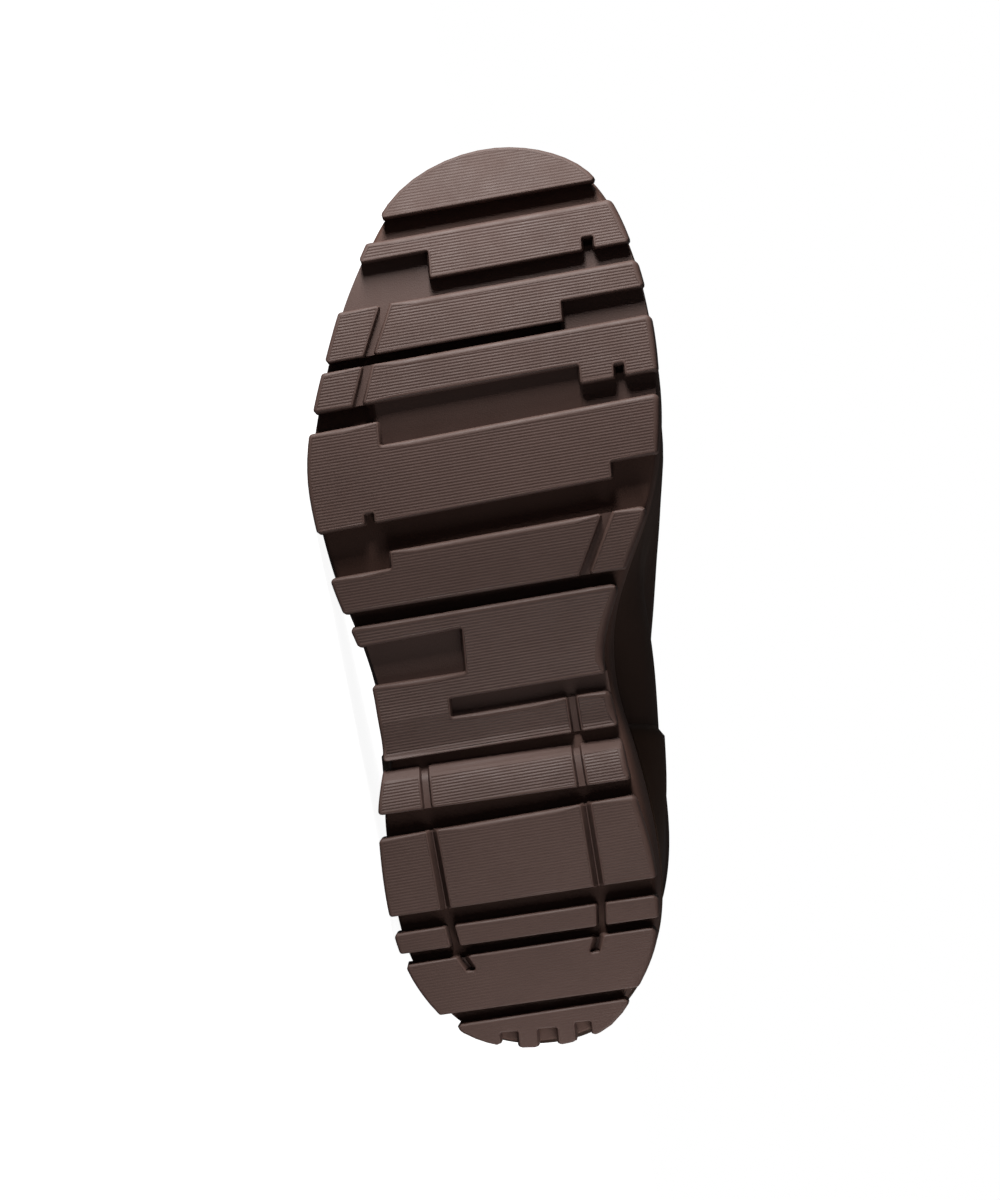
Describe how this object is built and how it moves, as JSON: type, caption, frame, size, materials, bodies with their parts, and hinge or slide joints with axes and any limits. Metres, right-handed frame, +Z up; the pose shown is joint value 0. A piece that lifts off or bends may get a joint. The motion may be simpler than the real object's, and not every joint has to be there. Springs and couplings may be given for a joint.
{
  "type": "platform rain boot",
  "caption": "Right-foot moulded rubber rain boot with a plain shaft, heel counter and thick lugged platform sole, lying empty on its outer side.",
  "frame": {"origin": "centre of the bounding box in plan, on the floor the boot lies on", "axes": "-X towards the toe, +Y from the sole to the collar, +Z up, away from the floor, towards the inner side of the boot"},
  "size_m": [0.2772, 0.2588, 0.1122],
  "materials": {
    "sole_rubber": "matte moulded, finely ribbed on the lug faces",
    "upper_rubber": "smooth satin",
    "counter_rubber": "smooth satin",
    "footbed_foam": "textile covered foam"
  },
  "bodies": {
    "root": {"outsole": "sole_rubber", "upper": "upper_rubber", "heel_counter": "counter_rubber", "insole": "footbed_foam"}
  },
  "joints": []
}
